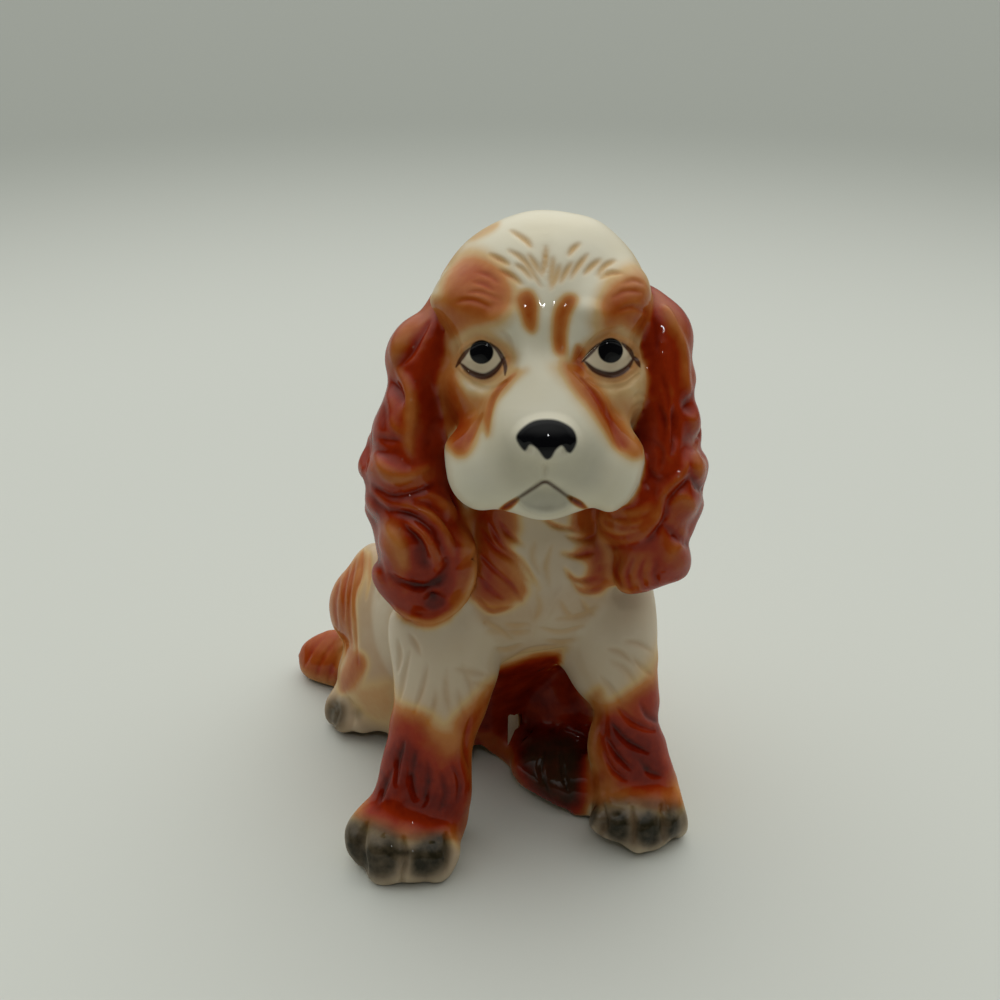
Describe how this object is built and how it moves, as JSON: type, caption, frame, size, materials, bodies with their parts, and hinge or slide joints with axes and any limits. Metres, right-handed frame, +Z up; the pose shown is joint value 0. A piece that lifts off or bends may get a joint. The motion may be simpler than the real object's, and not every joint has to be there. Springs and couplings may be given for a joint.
{
  "type": "dog figurine",
  "caption": "Seated spaniel pup figurine in glazed earthenware, with long curled ears, a turned body and a flat underside to stand on a shelf or mantel.",
  "frame": {"origin": "centre of the torso's flat underside, on the surface that the figure stands on", "axes": "+Z up, the face looks along -Y and +X is the pup's left side; the body is turned about +Z so that the rump lies behind and to the pup's right"},
  "size_m": [0.1058, 0.1014, 0.1463],
  "materials": {
    "body_glaze": "cream earthenware under a clear gloss glaze, with tan wash in the fur",
    "head_glaze": "cream earthenware with painted rust patches, black nose and painted eyes under clear gloss glaze",
    "ear_glaze": "rust brown underglaze that thins on the curls, under clear gloss glaze",
    "leg_glaze": "cream shading to rust towards the paws, with dark toes, under clear gloss glaze",
    "tail_glaze": "rust brown underglaze under clear gloss glaze"
  },
  "bodies": {
    "root": {"torso": "body_glaze", "head": "head_glaze", "right_ear": "ear_glaze", "left_ear": "ear_glaze", "right_foreleg": "leg_glaze", "left_foreleg": "leg_glaze", "right_hind_leg": "leg_glaze", "left_hind_leg": "leg_glaze", "tail": "tail_glaze"}
  },
  "joints": []
}
